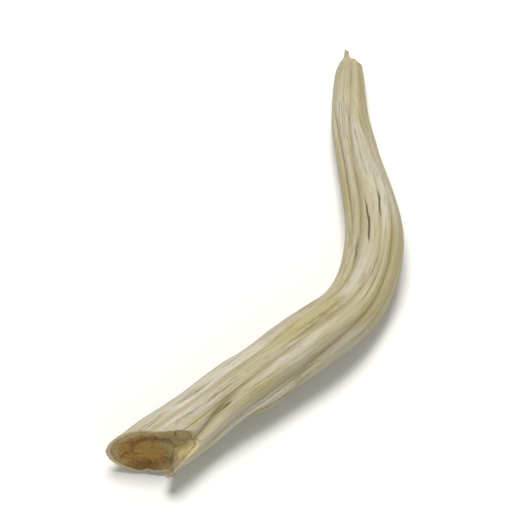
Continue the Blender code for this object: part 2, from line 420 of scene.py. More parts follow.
# %% The whole skin
def fine_relief(angle, station):
    """What the fine detail takes off the model's skin: wrinkles and fissures, less the grain."""
    wrinkles = furrow_depth(angle, station, FINE_WRINKLES, WRINKLE_FADE, WRINKLE_SHARPNESS)
    cracks = fissure_depth(angle, station)
    notch = furrow_depth(angle, station, TIP_NOTCH, NOTCH_FADE, NOTCH_SHARPNESS)
    return wrinkles + cracks + notch - grain_height(angle, station) - puckers(angle, station)


def skin_radius(angle, station):
    """The reach of the finished skin."""
    return model_radius(angle, station) - fine_relief(angle, station)


# %% [markdown]
# ## Where the knife went through
#
# The thick end was cut at a slant, so the cut face is an oval, and it faces the viewer. To
# find its edge, every lengthwise line of the skin is followed to the plane of the knife. Low
# on the outer side the knife left a lip, so the skin runs on there. Just above the lip one
# lobe of the flesh broke off further back, so there the skin stops short.

# %% The edge of the cut and the edge of the tip
def unit(vector):
    """The same direction, one long."""
    return np.array(vector) / np.linalg.norm(vector)


CUT_NORMAL = unit((-0.08, -0.965, 0.25))
TIP_NORMAL = unit((0.44, 0.87, 0.20))
PLANE_STEPS = 14
PLANE_STEP_SHARE = 0.8
# Each of these begins, is full from and to, and ends at four angles in degrees
CUT_LIP = 2.3
CUT_LIP_ARC = (150.0, 172.0, 184.0, 234.0)
CUT_LOBE = 0.90
CUT_LOBE_ARC = (88.0, 122.0, 142.0, 160.0)
SPLINTER = 1.10
SPLINTER_ARC = (8.0, 34.0, 62.0, 88.0)
# The powers by which the lip and the splinter die away along the root
LIP_EASING = 3
SPLINTER_EASING = 8


def station_on_plane(angle, middle, normal, radius):
    """Where each lengthwise line meets the plane: start at the middle station, measure the
    miss, step back by most of it, and repeat."""
    origin = point_at(0.0, middle, 0.0)
    turn = heading(middle)
    along = normal[0] * np.cos(turn) + normal[1] * np.sin(turn)
    found = np.full(np.shape(angle), middle)
    for _ in range(PLANE_STEPS):
        miss = (point_at(angle, found, radius(angle, found)) - origin) @ normal
        found = found - PLANE_STEP_SHARE * miss / along
    return found


def plateau(degrees, arc):
    """1 between the arc's two middle angles, easing to 0 at its two outer ones."""
    return rise(degrees, arc[0], arc[1]) * (1.0 - rise(degrees, arc[2], arc[3]))


def lip(angle):
    """How far the skin runs on past the knife's plane: out at the lip, and back at the lobe."""
    degrees = np.degrees(angle)
    return CUT_LIP * plateau(degrees, CUT_LIP_ARC) - CUT_LOBE * plateau(degrees, CUT_LOBE_ARC)


def splinter(angle):
    """How far the skin runs on past the tip, where a few fibres held on as the root snapped."""
    return SPLINTER * plateau(np.degrees(angle), SPLINTER_ARC)


def run_on(angle, share):
    """How far past its even place the skin at this share of the flank lies: out by the splinter
    towards the tip, and out by the lip towards the cut."""
    return splinter(angle) * share**SPLINTER_EASING - lip(angle) * (1.0 - share) ** LIP_EASING


COLUMNS = 320
ANGLES = np.arange(COLUMNS) * 2.0 * np.pi / COLUMNS
cut_stations = station_on_plane(ANGLES, 0.0, CUT_NORMAL, skin_radius)
tip_stations = station_on_plane(ANGLES, ROOT_LENGTH, TIP_NORMAL, skin_radius)
print("the cut runs over", np.ptp(cut_stations).round(2), "mm of the root's length")

# %% [markdown]
# ## The flank
#
# The flank is one grid: a row for each station and a column for each direction round the root.
# Rows crowd together at both ends, so that the edges of the cut and the tip stay crisp.

# %% Rows of the flank
FLANK_ROWS = 230
FLANK_MARGIN = 0.0045
EDGE_ROWS = (0.0, 0.0012, 0.0028)
# The torn rims: cells round the root, seed, depth at the cut and the tip, and the power by
# which they die away
TORN_CELLS = 90
TORN_SEED = 24
TORN_AT_CUT = 0.07
TORN_AT_TIP = 0.09
TORN_EASING = 60


def flank_shares():
    """Shares of the way from the cut to the tip: even steps, with extra rows at each end."""
    even = np.linspace(FLANK_MARGIN, 1.0 - FLANK_MARGIN, FLANK_ROWS)
    start = np.array(EDGE_ROWS)
    return np.concatenate((start, even, 1.0 - start[::-1]))[:, None]


shares = flank_shares()
torn = streak_noise(ANGLES, 0.0 * ANGLES, TORN_CELLS, 1.0, TORN_SEED)
ragged = TORN_AT_CUT * torn * (1.0 - shares) ** TORN_EASING
ragged = ragged + TORN_AT_TIP * torn * shares**TORN_EASING
flank_stations = cut_stations + (tip_stations - cut_stations) * shares
flank_stations = flank_stations + run_on(ANGLES, shares) + ragged
flank_reach = skin_radius(ANGLES, flank_stations)
flank = point_at(ANGLES, flank_stations, flank_reach)
print("flank rows and columns:", flank.shape[:2])

# %% [markdown]
# ## The cut face
#
# Shatavari has a firm core inside softer flesh. The flesh shrank more, so the face dried
# hollow round the core, and the core itself is ribbed where its fibres were sheared off. The
# face is drawn as rings that shrink towards the middle, moved in and out by that relief.

# %% Cracks and noise of the cut face
# Cracks: depth, angle and half width in degrees, and the rings they run between
FACE_CRACKS = (
    (0.16, 12.0, 2.2, 0.42, 0.93),
    (0.10, 74.0, 1.8, 0.20, 0.62),
    (0.14, 118.0, 2.0, 0.50, 0.98),
    (0.18, 214.0, 2.4, 0.30, 0.90),
    (0.12, 262.0, 2.0, 0.36, 0.74),
    (0.15, 318.0, 2.2, 0.24, 0.88),
)
CRACK_SWAY = 9.0
CRACK_WAVES = 7.0
CRACK_FADE = 0.12


def face_cracks(angle, ring):
    """Short radial cracks that waver, each widest half way along."""
    depth = 0.0
    for deep, degrees, half_width, first, last in FACE_CRACKS:
        bend = np.radians(degrees + CRACK_SWAY * np.sin(CRACK_WAVES * ring + degrees))
        valley = np.exp(-gap(angle, bend) / np.radians(half_width))
        depth = depth + deep * valley * between(ring, first, last, CRACK_FADE)
    return depth


def face_noise(angle, ring, layer):
    """A layer of noise in a wheel pattern: cells round the face and rings out from its middle."""
    height, cells_round, rings, seed = layer
    return height * streak_noise(angle, ring * rings, cells_round, 1.0, seed)


print("face cracks:", len(FACE_CRACKS))


# %% Relief of the cut face
CUT_RINGS = 46
CUT_EDGE_RING = 0.985
CUT_DISH = 0.50
CUT_DISH_FROM = 0.5
CUT_LIP_FOOT = 0.30
# The core's share of the way out, how far it stands up, and the width of its edge
CORE_SHARE = 0.46
CORE_RISE = 0.26
CORE_EDGE = 0.12
# Layers of noise: height, cells round the face, rings, and seed
CORE_WAVER = (0.05, 9, 1.0, 21)
CUT_RIBS = (0.040, 38, 3.0, 22)
CUT_PITS = (0.030, 64, 22.0, 23)
# The rings over which the ribs and pits fade in, and over which all fine relief fades out
RIBS_FADE = (0.15, 0.55)
PITS_FADE = (0.10, 0.40)
RIM_FADE = (0.89, 0.99)


def cut_relief(angle, ring):
    """How far the face stands out of the knife's plane: a hollow, a raised core, radial ribs
    that fade at the middle, and a little roughness."""
    hollow = -CUT_DISH * (1.0 - rise(ring, CUT_DISH_FROM, 1.0))
    core_edge = CORE_SHARE + face_noise(angle, 0.0 * ring, CORE_WAVER)
    core = CORE_RISE * smooth((core_edge - ring) / CORE_EDGE + 0.5)
    ribs = face_noise(angle, ring, CUT_RIBS) * rise(ring, *RIBS_FADE)
    pits = face_noise(angle, ring, CUT_PITS) * rise(ring, *PITS_FADE)
    fine = (ribs + pits - face_cracks(angle, ring)) * (1.0 - rise(ring, *RIM_FADE))
    return hollow + core + fine


def lip_rise(ring):
    """0 at the foot of the slope behind the lip and 1 at the rim, with soft ends."""
    return rise(ring, CUT_LIP_FOOT, 1.0)


def lip_slope(angle, ring):
    """The slope of flesh behind the lip: back along the root, by the lip's length at the rim."""
    turn = heading(0.0)
    backwards = -np.array((np.cos(turn), np.sin(turn), 0.0))
    return (lip(angle) * lip_rise(ring))[..., None] * backwards


FURROWS_REACH_IN = 0.5


def end_face(rim, plain, ring, relief):
    """Rings of an end: even near the middle, and taking up the rim's furrows further out."""
    middle = plain.mean(axis=0)
    near_rim = rise(ring, FURROWS_REACH_IN, 1.0)[..., None]
    outline = plain + (rim - plain) * near_rim
    return middle + (outline - middle) * ring[..., None] + relief


def end_rim(middle, normal, radius):
    """The closed line where the skin meets an end's plane."""
    station = station_on_plane(ANGLES, middle, normal, radius)
    return point_at(ANGLES, station, radius(ANGLES, station))


cut_ring = np.linspace(0.0, CUT_EDGE_RING, CUT_RINGS)[:, None] + 0.0 * ANGLES
cut_rim = end_rim(0.0, CUT_NORMAL, skin_radius)
cut_plain = end_rim(0.0, CUT_NORMAL, lobed_radius)
cut_lift = cut_relief(ANGLES, cut_ring)[..., None] * CUT_NORMAL + lip_slope(ANGLES, cut_ring)
cut_face = end_face(cut_rim, cut_plain, cut_ring, cut_lift)
print("cut face width in mm:", np.ptp(cut_face[..., 0]).round(2))

# %% [markdown]
# ## The tip
#
# The thin end was snapped rather than cut. It is a small blunt face with a notch in it, a bit
# rounded where it has been rubbed. Beside the notch a few fibres held on to the last and stand
# up as a splinter. Its rim is the last row of the flank, so the face starts from that row.

# %% Relief of the tip
TIP_RINGS = 16
TIP_EDGE_RING = 0.96
TIP_BULGE = 0.45
TIP_ROUGH = (0.07, 14, 4.0, 31)
TIP_ROUGH_FROM = 0.4
TIP_ROUGH_TO = (0.78, 0.98)


def tip_relief(angle, ring):
    """A low dome, roughened as a break is."""
    dome = TIP_BULGE * np.sqrt(1.0 - ring**2)
    rough = face_noise(angle, ring, TIP_ROUGH) * rise(ring, 0.0, TIP_ROUGH_FROM)
    return dome + rough * (1.0 - rise(ring, *TIP_ROUGH_TO))


tip_ring = np.linspace(TIP_EDGE_RING, 0.0, TIP_RINGS)[:, None] + 0.0 * ANGLES
tip_rim = flank[-1]
tip_plain = end_rim(ROOT_LENGTH, TIP_NORMAL, lobed_radius)
tip_lift = tip_relief(ANGLES, tip_ring)[..., None] * TIP_NORMAL
tip_face = end_face(tip_rim, tip_plain, tip_ring, tip_lift)
print("tip width in mm:", np.ptp(tip_face[..., 0]).round(2))

# %% [markdown]
# ## Notes for the materials
#
# A pattern that follows the root needs to know where on the root it is. Each point therefore
# keeps five notes. `along_root` is its place in a root that was bent straight, `furrow` says
# how far it lies below its neighbours, and `on_cut` is its place on the cut face. `tints` says
# how yellow and how chalky the skin is there, where chalky partly means painted highlight, and
# whether it lies in a fissure, where shade is painted. `lip_slope` says how far up the slope
# behind the knife's lip it lies.
#
# A depth means little by itself: a tenth of a millimetre is deep for a fine crease and shallow
# for a furrow. So each depth is divided by one that is usual at its own width.

# %% The notes at every point
rows = np.concatenate((cut_face, flank, tip_face))
ring_of_row = np.concatenate((cut_ring, np.ones(flank.shape[:2]), tip_ring))
station_of_row = np.concatenate((
    cut_stations * cut_ring, flank_stations, ROOT_LENGTH + (tip_stations - ROOT_LENGTH) * tip_ring
))
reach_of_row = ring_of_row * plain_radius(station_of_row)
along_root = np.stack(
    (reach_of_row * np.cos(ANGLES), reach_of_row * np.sin(ANGLES), station_of_row), axis=-1
)


def below_neighbours(depth, width):
    """Depth less its average over this many columns to either side, taken round the root."""
    near = [np.roll(depth, shift, axis=1) for shift in range(-width, width + 1)]
    return depth - np.mean(near, axis=0)


# Columns to either side, and the usual depth in mm there
BROAD = (14, 0.16)
NARROW = (4, 0.05)
ON_FACE = (7, 0.06)
BROAD_SHARE = 0.6


def furrow_note():
    """Depth below the neighbours: at two widths on the flank, and at one on the cut face."""
    relief = lobed_radius(ANGLES, flank_stations) - flank_reach
    broad = below_neighbours(relief, BROAD[0]) / BROAD[1]
    narrow = below_neighbours(relief, NARROW[0]) / NARROW[1]
    note = np.zeros(rows.shape[:2])
    note[CUT_RINGS:CUT_RINGS + len(flank)] = BROAD_SHARE * broad + (1.0 - BROAD_SHARE) * narrow
    note[:CUT_RINGS] = below_neighbours(-cut_relief(ANGLES, cut_ring), ON_FACE[0]) / ON_FACE[1]
    return note


furrow = furrow_note()
print("furrow note runs from", furrow.min().round(2), "to", furrow.max().round(2))


# %% Patches of colour
# Station in mm, angle in degrees, half length in mm, half width in degrees, and amount
YELLOW_PATCHES = (
    (14.0, 80, 1.8, 15, 1.0),
    (17.5, 88, 2.2, 14, 0.7),
    (21.0, 140, 2.8, 20, 1.0),
    (26.0, 130, 2.6, 17, 0.9),
    (31.0, 18, 2.2, 24, 0.8),
    (40.0, 128, 3.4, 20, 0.8),
    (10.0, 138, 3.6, 8, 0.8),
    (4.6, 112, 2.2, 9, 0.9),
    (8.0, 262, 5.0, 26, 0.8),
    (27.0, 285, 4.0, 24, 0.7),
    (36.0, 240, 3.5, 30, 0.8),
)
# Chalky patches: partly rubbed skin, partly painted highlight on the lit tops of the limbs
CHALK_AND_HIGHLIGHT_PATCHES = (
    (6.5, 58, 8.0, 22, 1.0),
    (3.4, 98, 3.4, 20, 0.9),
    (7.0, 166, 6.0, 14, 0.9),
    (13.5, 113, 3.2, 10, 0.9),
    (30.5, 118, 3.8, 24, 1.0),
    (35.5, 84, 2.6, 13, 0.9),
    (38.0, 48, 3.8, 40, 0.8),
    (22.0, 82, 2.8, 16, 0.7),
    (18.0, 225, 6.0, 22, 0.8),
    (32.0, 300, 5.0, 26, 0.8),
)
OPEN_FISSURE = 0.12


def patch_note(angle, station, patch_list):
    """The sum of soft oval patches, each a bell round the root and along it."""
    total = 0.0
    for middle, degrees, half_length, half_width, amount in patch_list:
        across = bell(gap(angle, np.radians(degrees)), 0.0, np.radians(half_width))
        total = total + amount * across * bell(station, middle, half_length)
    return total


def lip_note():
    """0 over most of the cut face, rising to 1 up the slope behind the lip."""
    note = np.zeros(rows.shape[:2])
    note[:CUT_RINGS] = plateau(np.degrees(ANGLES), CUT_LIP_ARC) * lip_rise(cut_ring)
    return note


def tint_notes():
    """Yellow, chalkiness and fissures, as the three parts of one vector. The chalkiness is partly
    painted highlight, and the fissures say where shade is painted.
    """
    yellow = patch_note(ANGLES, station_of_row, YELLOW_PATCHES)
    chalk_and_highlight = patch_note(ANGLES, station_of_row, CHALK_AND_HIGHLIGHT_PATCHES)
    open_cracks = fissure_depth(ANGLES, station_of_row) / OPEN_FISSURE
    return np.stack((yellow, chalk_and_highlight, open_cracks), axis=-1)


cut_across = -unit(np.cross(CUT_NORMAL, (0.0, 0.0, 1.0)))
cut_up = np.cross(CUT_NORMAL, cut_across)
cut_up = cut_up * np.sign(cut_up[2])
from_middle = rows - cut_plain.mean(axis=0)
on_cut = np.stack((from_middle @ cut_across, from_middle @ cut_up, ring_of_row), axis=-1)
print("patches of colour:", len(YELLOW_PATCHES) + len(CHALK_AND_HIGHLIGHT_PATCHES))

# %% [markdown]
# ## From a grid to a mesh
#
# The three sets of rows make one closed skin. Each end row has shrunk to a point, so it becomes
# a single vertex with a fan of triangles round it, and the last column is joined to the first.

# %% Make the root's mesh
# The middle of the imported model's outline, in plan
MIDDLE = (cad_low + cad_high)[:2] / 2.0


def set_on_table(points):
    """Flatten what dips below the table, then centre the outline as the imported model's is."""
    points = points.copy()
    points[..., 2] = np.maximum(points[..., 2], 0.0)
    points[..., :2] += MIDDLE - model_outline()
    return points


def model_outline():
    """The middle of the model's own outline: the skin without the fine detail."""
    first = station_on_plane(ANGLES, 0.0, CUT_NORMAL, model_radius)
    last = station_on_plane(ANGLES, ROOT_LENGTH, TIP_NORMAL, model_radius)
    stations = first + run_on(ANGLES, shares) + (last - first) * shares
    plain = point_at(ANGLES, stations, model_radius(ANGLES, stations))[..., :2].reshape(-1, 2)
    return (plain.min(axis=0) + plain.max(axis=0)) / 2.0


def closed_faces(row_count, columns):
    """Quads between rows, then a fan at each end. Point 0 is the first pole."""
    column = np.arange(columns)
    beside = (column + 1) % columns
    row = np.arange(row_count - 1)[:, None] * columns + 1
    quads = np.stack(
        (row + column, row + beside, row + columns + beside, row + columns + column), axis=-1
    )
    last = row_count * columns + 1
    edge = (row_count - 1) * columns + 1
    start = np.stack((np.zeros(columns, int), beside + 1, column + 1), axis=-1)
    stop = np.stack((edge + column, edge + beside, np.full(columns, last)), axis=-1)
    return quads.reshape(-1, 4).tolist() + start.tolist() + stop.tolist()


def with_poles(values):
    """Row values as one list: the first row's mean, the rows between, the last row's mean."""
    inner = values[1:-1].reshape(-1, *values.shape[2:])
    return np.concatenate((values[:1].mean(axis=1), inner, values[-1:].mean(axis=1)))


def add_note(mesh, name, values):
    """Store one value, or one vector, for every point of a mesh."""
    kind, field = ("FLOAT", "value") if values.ndim == 2 else ("FLOAT_VECTOR", "vector")
    note = mesh.attributes.new(name, kind, "POINT")
    note.data.foreach_set(field, with_poles(values).ravel())


def put(name, data):
    """An object with this data, placed in the scene."""
    made = bpy.data.objects.new(name, data)
    bpy.context.scene.collection.objects.link(made)
    return made


points = with_poles(set_on_table(rows)) / 1000.0
root_mesh = bpy.data.meshes.new("peeled_root")
root_mesh.from_pydata(points.tolist(), [], closed_faces(len(rows) - 2, COLUMNS))
root_mesh.shade_smooth()
add_note(root_mesh, "along_root", along_root)
add_note(root_mesh, "furrow", furrow)
add_note(root_mesh, "on_cut", on_cut)
add_note(root_mesh, "tints", tint_notes())
add_note(root_mesh, "lip_slope", lip_note())
peeled_root = put("peeled_root", root_mesh)
print("root faces:", len(root_mesh.polygons), "closed:", root_mesh.validate() is False)

# %% [markdown]
# ## Shader helpers
#
# Materials here are made of nodes. A few short helpers add a node and give each of its inputs a
# fixed value or another node's output, so each recipe below reads as a list of steps. A socket
# knows the tree it is in, so most of the helpers need no more than sockets.

# %% Helpers for node trees
def paint(red, green, blue):
    """A colour as seen on screen, 0 to 255, as the linear colour that nodes use."""
    seen = np.array((red, green, blue)) / 255.0
    linear = np.where(seen <= 0.04045, seen / 12.92, ((seen + 0.055) / 1.055) ** 2.4)
    return (*[float(value) for value in linear], 1.0)


def join(value, socket):
    """Wire an output to this input, or give the input a fixed value."""
    if isinstance(value, bpy.types.NodeSocket):
        socket.id_data.links.new(value, socket)
    else:
        socket.default_value = value


def add(tree, kind, settings=(), **values):
    """Add a node, set its properties, and join or set its inputs by name."""
    node = tree.nodes.new(kind)
    for name, value in settings:
        setattr(node, name, value)
    for name, value in values.items():
        join(value, node.inputs[name.replace("_", " ")])
    return node


def blend(factor, first, second):
    """Mix two colours, each a socket or a colour as seen on screen, by a value from 0 to 1."""
    node = add(factor.id_data, "ShaderNodeMix", [("data_type", "RGBA")])
    join(factor, node.inputs[0])
    for socket, colour in ((node.inputs[6], first), (node.inputs[7], second)):
        join(paint(*colour) if isinstance(colour, tuple) else colour, socket)
    return node.outputs[2]


def ramp(value, low, high):
    """A value's place between low and high, from 0 to 1, with soft ends."""
    node = add(value.id_data, "ShaderNodeMapRange", [("interpolation_type", "SMOOTHSTEP")],
               Value=value, From_Min=low, From_Max=high)
    return node.outputs["Result"]


def sums(operation, first, second, kind="ShaderNodeMath"):
    """Arithmetic on a socket and a second value, which is a socket or fixed."""
    node = add(first.id_data, kind, [("operation", operation)])
    for socket, value in zip(node.inputs, (first, second)):
        join(value, socket)
    return node.outputs[0]


def vectors(operation, first, second):
    """The same arithmetic on vectors."""
    return sums(operation, first, second, "ShaderNodeVectorMath")


print("chalk on screen is", [round(value, 3) for value in paint(211, 207, 190)], "in nodes")

# %% [markdown]
# ## Fibre grain
#
# The flesh is made of fibres that run the length of the root. One solid pattern, drawn out
# along the root, shows as streaks on the skin and as dots where the knife crossed the fibres.
# Skin and cut flesh both use it, so it is a node group with its own inputs.

# %% The fibre grain group
def new_group(name, inputs, outputs):
    """A node group that takes a place and some numbers: itself, its inputs and its outputs."""
    group = bpy.data.node_groups.new(name, "ShaderNodeTree")
    group.interface.new_socket("Place", in_out="INPUT", socket_type="NodeSocketVector")
    for side, labels in (("INPUT", inputs), ("OUTPUT", outputs)):
        for label in labels:
            group.interface.new_socket(label, in_out=side, socket_type="NodeSocketFloat")
    start, end = group.nodes.new("NodeGroupInput"), group.nodes.new("NodeGroupOutput")
    return group, start.outputs, end.inputs


def drawn_out(place, squeeze):
    """The place with its length along the root squeezed, which draws a pattern out that way."""
    scale = add(place.id_data, "ShaderNodeCombineXYZ", X=1.0, Y=1.0, Z=squeeze)
    return vectors("MULTIPLY", place, scale.outputs[0])


def noise_at(place, **values):
    """The value of a noise at this place."""
    return add(place.id_data, "ShaderNodeTexNoise", Vector=place, **values).outputs["Fac"]


def make_fibre_grain():
    """Noise at two sizes, read at points whose length along the root is squeezed."""
    inputs, outputs = ("Fibres per mm", "Squeeze"), ("Streaks", "Bands")
    group, given, found = new_group("fibre_grain", inputs, outputs)
    drawn = drawn_out(given["Place"], given["Squeeze"])
    size = given["Fibres per mm"]
    fine = noise_at(drawn, Scale=size, Detail=5.0, Roughness=0.62, Distortion=0.15)
    broad = noise_at(drawn, Scale=0.9, Detail=3.0, Roughness=0.55)
    join(ramp(fine, 0.30, 0.70), found["Streaks"])
    join(ramp(broad, 0.32, 0.68), found["Bands"])
    return group


fibre_grain = make_fibre_grain()
print("group:", fibre_grain.name)

# %% [markdown]
# ## Specks
#
# A peeled root isn't clean. Grains of soil and bits of the brown outer skin are left on it as
# small dark specks, more of them in some places than in others. Every part of the root has
# them, so this is a group too.

# %% The specks group
def make_specks():
    """Dots in small cells: only a few cells have one, and only in patches."""
    group, given, found = new_group("specks", ("Specks per mm", "Amount"), ("Mask",))
    place, size = given["Place"], given["Specks per mm"]
    cells = add(group, "ShaderNodeTexVoronoi", Vector=place, Scale=size, Randomness=1.0)
    dot = ramp(cells.outputs["Distance"], 0.16, 0.05)
    shade = add(group, "ShaderNodeSeparateColor", Color=cells.outputs["Color"])
    chosen = ramp(shade.outputs[0], 0.80, 0.90)
    patch = ramp(noise_at(place, Scale=0.45, Detail=2.0), 0.42, 0.62)
    kept = sums("MULTIPLY", sums("MULTIPLY", dot, chosen), patch)
    join(sums("MULTIPLY", kept, given["Amount"]), found["Mask"])
    return group


specks = make_specks()
print("group:", specks.name)

# %% [markdown]
# ## Dry cracks
#
# Dry skin splits along its fibres into thin dark lines. They are the edges of long narrow cells,
# and a second pattern lets only parts of them through, so the lines come as dashes.

# %% The dry cracks group
CRACK_DASHES = (1.0, 1.0, 0.28)


def make_dry_cracks():
    """Distance to the edges of drawn-out cells, taken as a thin line and broken up."""
    group, given, found = new_group("dry_cracks", ("Cells per mm", "Squeeze"), ("Lines",))
    place, size = given["Place"], given["Cells per mm"]
    sway = add(group, "ShaderNodeTexNoise", Vector=place, Scale=0.35, Detail=3.0)
    shift = vectors("MULTIPLY", sway.outputs["Color"], (0.4, 0.4, 0.4))
    drawn = drawn_out(vectors("ADD", place, shift), given["Squeeze"])
    edges = [("feature", "DISTANCE_TO_EDGE")]
    cells = add(group, "ShaderNodeTexVoronoi", edges, Vector=drawn, Scale=size)
    line = ramp(cells.outputs["Distance"], 0.060, 0.006)
    dashes = vectors("MULTIPLY", place, CRACK_DASHES)
    breaks = noise_at(dashes, Scale=1.3, Detail=4.0, Roughness=0.6)
    kept = ramp(breaks, 0.47, 0.66)
    join(sums("MULTIPLY", line, kept), found["Lines"])
    return group


dry_cracks = make_dry_cracks()
print("group:", dry_cracks.name)

# %% [markdown]
# ## Uneven colour
#
# Peeling and drying leave the skin in patches: yellow where more juice dried, and a faint
# chalky grey where it was rubbed. Each patch is a few millimetres long.

# %% The patches group
PATCH_SQUEEZE = (1.0, 1.0, 0.42)
# Name, size as a scale, and a step aside that keeps the two patterns apart
PATCH_KINDS = (("Yellow", 0.42, 3.0), ("Grey", 0.34, 17.0))


def make_patches():
    """Two slow patterns along the root, with soft edges."""
    group, given, found = new_group("patches", (), [kind[0] for kind in PATCH_KINDS])
    for name, size, aside in PATCH_KINDS:
        drawn = vectors("MULTIPLY", given["Place"], PATCH_SQUEEZE)
        moved = vectors("ADD", drawn, (aside, aside, 0.0))
        noise = noise_at(moved, Scale=size, Detail=4.0, Roughness=0.6)
        join(ramp(noise, 0.50, 0.64), found[name])
    return group


patches = make_patches()
print("group:", patches.name)

# %% [markdown]
# ## Peeled skin
#
# The skin is pale cream on the ridges, where peeling and rubbing cleaned it, with chalky patches
# that are partly painted highlight. The furrows are painted tan to olive as shade. The `furrow`
# note drives that change. Over it lie the finer marks, one after another: streaks, hairs, cracks,
# fissures and soil; the deepest furrows and the fissures are painted shade. Each is a mask, the
# most that it may hide of what is under it, and a colour.

# %% Steps that both materials share
BASE_ROUGHNESS = 0.5
STREAK_ROUGHNESS = 0.2
GLOW_PARTS = ("Weight", "Radius", "Scale")


def new_material(name):
    """A material with its Principled shader ready."""
    material = bpy.data.materials.new(name)
    material.use_nodes = True
    return material, material.node_tree, material.node_tree.nodes["Principled BSDF"]


def note_of(tree, name, output="Fac"):
    """Read one of the root's notes."""
    return add(tree, "ShaderNodeAttribute", [("attribute_name", name)]).outputs[output]


def parts_of(vector):
    """The X, Y and Z of a vector."""
    return add(vector.id_data, "ShaderNodeSeparateXYZ", Vector=vector).outputs


def place_group(group, place, **values):
    """Put a node group in a material, reading this place and with its own values."""
    settings = [("node_tree", group)]
    return add(place.id_data, "ShaderNodeGroup", settings, Place=place, **values).outputs


def weighted(*parts):
    """The sum of some values, each times its own weight."""
    total = sums("MULTIPLY", *parts[0])
    for value, weight in parts[1:]:
        total = sums("ADD", total, sums("MULTIPLY", value, weight))
    return total


def lay_over(colour, masks, marks):
    """Lay marks over a colour in turn, each through its mask. A mark is the most it may hide
    and its own colour."""
    for mask, (most, over) in zip(masks, marks.values()):
        colour = blend(sums("MULTIPLY", mask, most), colour, over)
    return colour


def surface(shader, colour, streaks, height, bump, glow):
    """Wire up a colour, a roughness that follows the streaks, a bump of some strength and depth
    in metres, and subsurface light with its weight, radii and scale."""
    rough = sums("ADD", sums("MULTIPLY", streaks, STREAK_ROUGHNESS), BASE_ROUGHNESS)
    tree, (strength, depth) = colour.id_data, bump
    tilt = add(tree, "ShaderNodeBump", Strength=strength, Distance=depth, Height=height)
    names = ("Base Color", "Roughness", "Normal", *["Subsurface " + part for part in GLOW_PARTS])
    for name, value in zip(names, (colour, rough, tilt.outputs["Normal"], *glow)):
        join(value, shader.inputs[name])


print("roughness runs from", BASE_ROUGHNESS, "to", BASE_ROUGHNESS + STREAK_ROUGHNESS)

# %% The peeled skin material
SKIN_BUMP = (0.7, 0.00009)
SKIN_GLOW = (0.05, (1.0, 0.6, 0.3), 0.0008)
# Pairs of colours that are blended: cream to chalk, the chalk partly a painted highlight, and
# tan to yellow, painted in the furrows as shade
RIDGE_CREAM_AND_HIGHLIGHT = ((189, 181, 147), (211, 207, 190))
FURROW_SHADE = ((162, 149, 112), (150, 132, 88))
# Marks: the most that each may hide, and its colour
RIDGE_MARKS = {
    "grey patches": (0.68, (191, 185, 173)),
    "yellow patches": (0.75, (180, 167, 114)),
}
SKIN_MARKS = {
    "streaks": (0.38, (168, 156, 118)),
    "hairs": (0.22, (156, 142, 106)),
    "thin cracks": (0.26, (134, 114, 78)),
    "bold cracks": (0.42, (120, 96, 62)),
    # The deepest furrows and the fissures are painted shade, darker where they sink deeper
    "painted shade in deep furrows": (1.0, (116, 94, 60)),
    "fissures": (0.85, (84, 66, 46)),
    "soil": (1.0, (96, 74, 46)),
}


def ridges_and_furrows(place, bands, tint, sunk):
    """Cream on the ridges, with chalky patches that are partly painted highlight, grey and yellow
    patches, and tan painted in the furrows as shade.
    """
    uneven = place_group(patches, place)
    yellow = ramp(weighted((uneven["Yellow"], 0.45), (tint["X"], 1.0)), 0.15, 0.95)
    # Chalk is partly rubbed skin and partly painted highlight
    chalk_and_highlight = ramp(weighted((bands, 0.5), (tint["Y"], 1.0)), 0.2, 1.2)
    ridge = lay_over(blend(chalk_and_highlight, *RIDGE_CREAM_AND_HIGHLIGHT), (uneven["Grey"], yellow), RIDGE_MARKS)
    # Tan in the furrows is painted shade, growing with the furrow note
    return blend(ramp(sunk, -0.25, 0.95), ridge, blend(yellow, *FURROW_SHADE))


def make_peeled_skin():
    """Ridges and furrows, with streaks, hairs, cracks, fissures and soil laid over them. The
    deepest furrows and the fissures are painted shade.
    """
    material, tree, shader = new_material("peeled_skin")
    place = note_of(tree, "along_root", "Vector")
    tint = parts_of(note_of(tree, "tints", "Vector"))
    sunk = note_of(tree, "furrow")
    grain = place_group(fibre_grain, place, Fibres_per_mm=6.5, Squeeze=0.05)
    hairs = place_group(fibre_grain, place, Fibres_per_mm=17.0, Squeeze=0.03)["Streaks"]
    bold = place_group(dry_cracks, place, Cells_per_mm=1.05, Squeeze=0.014)["Lines"]
    thin = place_group(dry_cracks, place, Cells_per_mm=2.6, Squeeze=0.012)["Lines"]
    soil = place_group(specks, place, Specks_per_mm=2.4, Amount=0.7)["Mask"]
    # Painted shade in the deepest furrows and in the fissures
    deep, fissure_shade = ramp(sunk, 1.1, 2.8), ramp(tint["Z"], 0.1, 0.9)
    masks = (grain["Streaks"], hairs, thin, bold, deep, fissure_shade, soil)
    colour = ridges_and_furrows(place, grain["Bands"], tint, sunk)
    colour = lay_over(colour, masks, SKIN_MARKS)
    height = weighted((grain["Streaks"], 0.5), (hairs, 0.35), (bold, -1.0), (thin, -0.5))
    surface(shader, colour, grain["Streaks"], height, SKIN_BUMP, SKIN_GLOW)
    return material


peeled_skin = make_peeled_skin()
print("material:", peeled_skin.name)

# %% [markdown]
# ## Cut flesh
#
# The cut face is amber and a little glassy, because the sugars in the flesh dried on it. A painted
# shadow darkens it low on the left, and it is lighter and olive towards the right. The cut fibres
# show on it as pale dots, and it has a thin cream edge where the outer flesh begins. These are
# places on the face, so the colours follow the `on_cut` note. The slope behind the lip and the
# cracks of the face are painted darker as shade.

# %% Patterns of the cut face
LINE_WAVER = 0.08
LINE_CORE_SHARE = 0.2
DOTS_SQUEEZE = (1.0, 1.0, 0.1)
DOTS_PER_MM = 9.0


